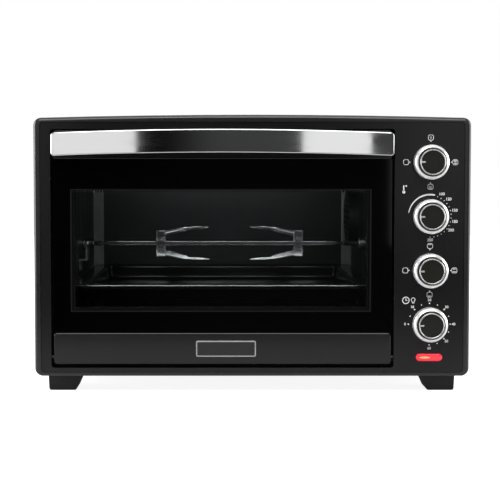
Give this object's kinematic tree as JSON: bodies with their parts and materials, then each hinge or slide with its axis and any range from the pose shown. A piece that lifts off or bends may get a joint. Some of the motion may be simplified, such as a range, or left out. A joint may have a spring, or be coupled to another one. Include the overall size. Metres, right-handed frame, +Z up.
{
  "type": "rotisserie oven",
  "caption": "Countertop rotisserie oven: black steel casing, drop-down glass door with an arched steel handle, side control panel with turning knobs, spit with forks and a tray.",
  "frame": {"origin": "middle of the footprint, on the surface that the feet stand on", "axes": "+Z up, -Y out of the door, +X to the right seen from the front"},
  "size_m": [0.545, 0.418, 0.3495],
  "materials": {
    "casing_steel": "satin black powder coat on sheet steel",
    "fascia_steel": "smooth satin black paint",
    "cavity_steel": "dark non-stick coating on sheet steel",
    "door_steel": "black painted sheet steel",
    "element_sheath": "heat-tinted steel sheath",
    "ceramic_white": "unglazed white ceramic",
    "tray_enamel": "black enamel with a bright worn rim",
    "chrome": "polished chrome plate",
    "zinc_steel": "zinc-plated steel",
    "aluminium_plain": "plain pressed aluminium",
    "clear_glass": "clear heat-resistant glass",
    "phenolic_black": "moulded phenolic",
    "lens_red": "glowing red lens",
    "trim_black": "satin black moulding",
    "door_glass": "tempered glass with a black printed border",
    "badge_metal": "plain brushed plate, no mark",
    "handle_steel": "satin stainless steel",
    "foot_plastic": "dark grey moulded plastic",
    "rubber_black": "soft black bush",
    "knob_plastic": "dark olive-grey cap with a pale pointer"
  },
  "bodies": {
    "root": {"outer_casing": "casing_steel", "front_frame": "fascia_steel", "mouth_frame": "cavity_steel", "cavity_left_wall": "cavity_steel", "cavity_right_wall": "cavity_steel", "cavity_back_wall": "cavity_steel", "cavity_floor": "cavity_steel", "cavity_roof": "cavity_steel", "shelf_runners": "cavity_steel", "heating_elements": "element_sheath", "element_insulators": "ceramic_white", "spit_support": "zinc_steel", "spit_motor": "zinc_steel", "fan_guard": "cavity_steel", "fan_motor": "zinc_steel", "lamp_cover": "clear_glass", "lamp_holder": "ceramic_white", "function_switch": "phenolic_black", "thermostat": "phenolic_black", "element_switch": "phenolic_black", "timer": "phenolic_black", "indicator_lens": "lens_red", "indicator_holder": "phenolic_black", "hinge_pins": "zinc_steel", "base_plate": "casing_steel", "feet": "foot_plastic", "foot_screws": "zinc_steel", "rear_cover": "casing_steel", "rear_screws": "zinc_steel", "cord_gland": "rubber_black", "terminal_block": "phenolic_black"},
    "door": {"door_frame": "door_steel", "door_glass": "door_glass", "door_top_trim": "trim_black", "door_bottom_trim": "trim_black", "badge_plate": "badge_metal", "door_handle": "handle_steel", "handle_posts": "trim_black", "handle_screws": "zinc_steel", "check_arms": "zinc_steel"},
    "function_knob": {"function_knob_cap": "knob_plastic", "function_knob_ring": "chrome", "function_shaft": "zinc_steel"},
    "thermostat_knob": {"thermostat_knob_cap": "knob_plastic", "thermostat_knob_ring": "chrome", "thermostat_shaft": "zinc_steel"},
    "element_knob": {"element_knob_cap": "knob_plastic", "element_knob_ring": "chrome", "element_shaft": "zinc_steel"},
    "timer_knob": {"timer_knob_cap": "knob_plastic", "timer_knob_ring": "chrome", "timer_shaft": "zinc_steel"},
    "spit": {"spit_rod": "chrome", "spit_drive_socket": "zinc_steel"},
    "fork_left": {"spit_fork_left": "chrome"},
    "fork_right": {"spit_fork_right": "chrome"},
    "screw_left": {"fork_screw_left": "chrome"},
    "screw_right": {"fork_screw_right": "chrome"},
    "tray": {"bake_tray": "tray_enamel"},
    "fan": {"fan_wheel": "aluminium_plain"}
  },
  "joints": [
    {"name": "door_hinge", "type": "hinge", "parent": "root", "child": "door", "pos_m": [-0.037, -0.171, 0.045], "axis": [1, 0, 0], "range_deg": [0, 90]},
    {"name": "tray_slide", "type": "slide", "parent": "root", "child": "tray", "axis": [0, -1, 0], "range_m": [0, 0.126]},
    {"name": "function_turn", "type": "hinge", "parent": "root", "child": "function_knob", "pos_m": [0.22185, -0.179, 0.2904], "axis": [0, 1, 0], "range_deg": [0, 270]},
    {"name": "thermostat_turn", "type": "hinge", "parent": "root", "child": "thermostat_knob", "pos_m": [0.22185, -0.179, 0.2229], "axis": [0, 1, 0], "range_deg": [0, 270]},
    {"name": "element_turn", "type": "hinge", "parent": "root", "child": "element_knob", "pos_m": [0.22185, -0.179, 0.1554], "axis": [0, 1, 0], "range_deg": [0, 270]},
    {"name": "timer_turn", "type": "hinge", "parent": "root", "child": "timer_knob", "pos_m": [0.22185, -0.179, 0.0879], "axis": [0, 1, 0], "range_deg": [0, 270]},
    {"name": "spit_turn", "type": "hinge", "parent": "root", "child": "spit", "pos_m": [-0.037, 0.0152, 0.176], "axis": [1, 0, 0], "continuous": true},
    {"name": "fork_left_slide", "type": "slide", "parent": "spit", "child": "fork_left", "axis": [1, 0, 0], "range_m": [-0.055, 0.02]},
    {"name": "fork_right_slide", "type": "slide", "parent": "spit", "child": "fork_right", "axis": [1, 0, 0], "range_m": [-0.02, 0.035]},
    {"name": "screw_left_turn", "type": "hinge", "parent": "fork_left", "child": "screw_left", "pos_m": [-0.124, 0.0152, 0.176], "axis": [0, 1, 0], "range_deg": [-360, 0]},
    {"name": "screw_right_turn", "type": "hinge", "parent": "fork_right", "child": "screw_right", "pos_m": [0.07, 0.0152, 0.176], "axis": [0, 1, 0], "range_deg": [-360, 0]},
    {"name": "fan_spin", "type": "hinge", "parent": "root", "child": "fan", "pos_m": [0.1655, 0.1172, 0.2085], "axis": [1, 0, 0], "continuous": true}
  ],
  "couplings": [
    {"joint": "tray_slide", "follows": "door_hinge", "m_per_rad": 0.08}
  ]
}
